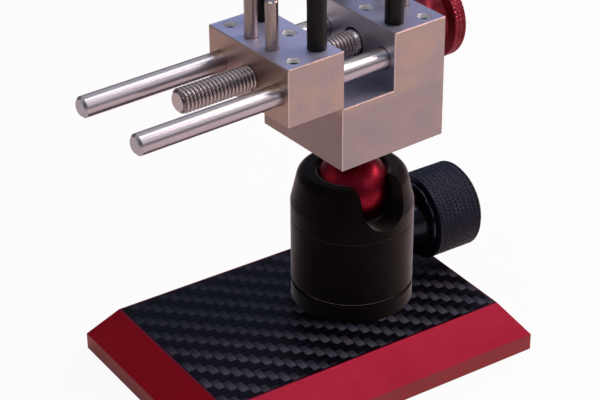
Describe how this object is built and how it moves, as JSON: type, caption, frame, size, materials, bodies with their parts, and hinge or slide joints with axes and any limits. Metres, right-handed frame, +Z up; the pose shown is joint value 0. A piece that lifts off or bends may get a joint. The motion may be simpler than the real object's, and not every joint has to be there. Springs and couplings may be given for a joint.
{
  "type": "ball head vise",
  "caption": "Small two-rod screw vise with pegged jaws on a locking ball head, on a bevelled base plate with a carbon top.",
  "frame": {"origin": "middle of the grip pad's underside, where the base rests on the bench", "axes": "+Z up; +X along the base towards the jaw knob; the ball head's notch faces -Y"},
  "size_m": [0.1006, 0.062, 0.1089],
  "materials": {
    "base_red": "red anodised, satin",
    "carbon": "woven carbon twill under clear resin",
    "pad_rubber": "matt",
    "steel_black": "black oxide",
    "head_black": "black anodised, satin",
    "collar_black": "black anodised, bright",
    "knob_black": "black anodised, fine knurl",
    "seat_plastic": "matt",
    "wedge_brass": "machined",
    "ball_red": "red anodised, satin",
    "vise_satin": "milled, satin",
    "rod_polished": "polished steel",
    "screw_steel": "rolled thread",
    "washer_steel": "turned",
    "knob_red": "red anodised, diamond knurl",
    "pin_steel": "ground",
    "sleeve_black": "shrunk tube, satin"
  },
  "bodies": {
    "base": {"base_plate": "base_red", "carbon_sheet": "carbon", "grip_pad": "pad_rubber", "base_screw": "steel_black", "head_foot": "head_black", "pan_washer": "washer_steel", "pan_screw": "steel_black"},
    "head": {"head_body": "head_black", "head_socket": "head_black", "ball_seat": "seat_plastic"},
    "wedge": {"lock_wedge": "wedge_brass"},
    "lock": {"lock_screw": "steel_black", "lock_collar": "collar_black", "lock_knob": "knob_black"},
    "ball": {"ball_stem": "ball_red", "stem_stud": "washer_steel"},
    "vise": {"vise_block": "vise_satin", "guide_rod_front": "rod_polished", "guide_rod_back": "rod_polished", "thrust_washer": "washer_steel"},
    "screw": {"lead_screw": "screw_steel", "screw_clip": "washer_steel", "jaw_knob": "knob_red", "knob_grub_screw": "steel_black"},
    "jaw": {"moving_jaw": "vise_satin"},
    "moving_jaw_short_pin_lift": {"moving_jaw_short_pin": "pin_steel"},
    "moving_jaw_tall_pin_lift": {"moving_jaw_tall_pin": "pin_steel"},
    "moving_jaw_front_post_lift": {"moving_jaw_front_post": "pin_steel", "moving_jaw_front_sleeve": "sleeve_black"},
    "moving_jaw_back_post_lift": {"moving_jaw_back_post": "pin_steel", "moving_jaw_back_sleeve": "sleeve_black"},
    "fixed_jaw_short_pin_lift": {"fixed_jaw_short_pin": "pin_steel"},
    "fixed_jaw_tall_pin_lift": {"fixed_jaw_tall_pin": "pin_steel"},
    "fixed_jaw_front_post_lift": {"fixed_jaw_front_post": "pin_steel", "fixed_jaw_front_sleeve": "sleeve_black"},
    "fixed_jaw_back_post_lift": {"fixed_jaw_back_post": "pin_steel", "fixed_jaw_back_sleeve": "sleeve_black"}
  },
  "joints": [
    {"name": "head_pan", "type": "hinge", "parent": "base", "child": "head", "pos_m": [0.0129, 0, 0.0177], "axis": [0, 0, 1], "continuous": true},
    {"name": "lock_travel", "type": "slide", "parent": "head", "child": "wedge", "axis": [1, 0, 0], "range_m": [0, 0.00075]},
    {"name": "lock_turn", "type": "hinge", "parent": "wedge", "child": "lock", "pos_m": [0.0309, 0, 0.0279], "axis": [1, 0, 0], "range_deg": [0, 270]},
    {"name": "ball_tilt", "type": "hinge", "parent": "head", "child": "ball", "pos_m": [0.0129, 0, 0.0425], "axis": [1, 0, 0], "range_deg": [-25, 90]},
    {"name": "vise_swivel", "type": "hinge", "parent": "ball", "child": "vise", "pos_m": [0.0129, 0, 0.0585], "axis": [0, 0, 1], "continuous": true},
    {"name": "screw_turn", "type": "hinge", "parent": "vise", "child": "screw", "pos_m": [0.02787, 0.00102, 0.0813], "axis": [0.9977, 0.068, 0], "range_deg": [-5184, 6480]},
    {"name": "jaw_slide", "type": "slide", "parent": "vise", "child": "jaw", "axis": [0.9977, 0.068, 0], "range_m": [-0.018, 0.0144]},
    {"name": "moving_jaw_short_pin_lift_out", "type": "slide", "parent": "jaw", "child": "moving_jaw_short_pin_lift", "axis": [0, 0, 1], "range_m": [0, 0.012]},
    {"name": "moving_jaw_tall_pin_lift_out", "type": "slide", "parent": "jaw", "child": "moving_jaw_tall_pin_lift", "axis": [0, 0, 1], "range_m": [0, 0.012]},
    {"name": "moving_jaw_front_post_lift_out", "type": "slide", "parent": "jaw", "child": "moving_jaw_front_post_lift", "axis": [0, 0, 1], "range_m": [0, 0.012]},
    {"name": "moving_jaw_back_post_lift_out", "type": "slide", "parent": "jaw", "child": "moving_jaw_back_post_lift", "axis": [0, 0, 1], "range_m": [0, 0.012]},
    {"name": "fixed_jaw_short_pin_lift_out", "type": "slide", "parent": "vise", "child": "fixed_jaw_short_pin_lift", "axis": [0, 0, 1], "range_m": [0, 0.012]},
    {"name": "fixed_jaw_tall_pin_lift_out", "type": "slide", "parent": "vise", "child": "fixed_jaw_tall_pin_lift", "axis": [0, 0, 1], "range_m": [0, 0.012]},
    {"name": "fixed_jaw_front_post_lift_out", "type": "slide", "parent": "vise", "child": "fixed_jaw_front_post_lift", "axis": [0, 0, 1], "range_m": [0, 0.012]},
    {"name": "fixed_jaw_back_post_lift_out", "type": "slide", "parent": "vise", "child": "fixed_jaw_back_post_lift", "axis": [0, 0, 1], "range_m": [0, 0.012]}
  ],
  "couplings": [
    {"joint": "screw_turn", "follows": "jaw_slide", "rad_per_m": -6283.2},
    {"joint": "lock_turn", "follows": "lock_travel", "rad_per_m": 6283.2}
  ]
}
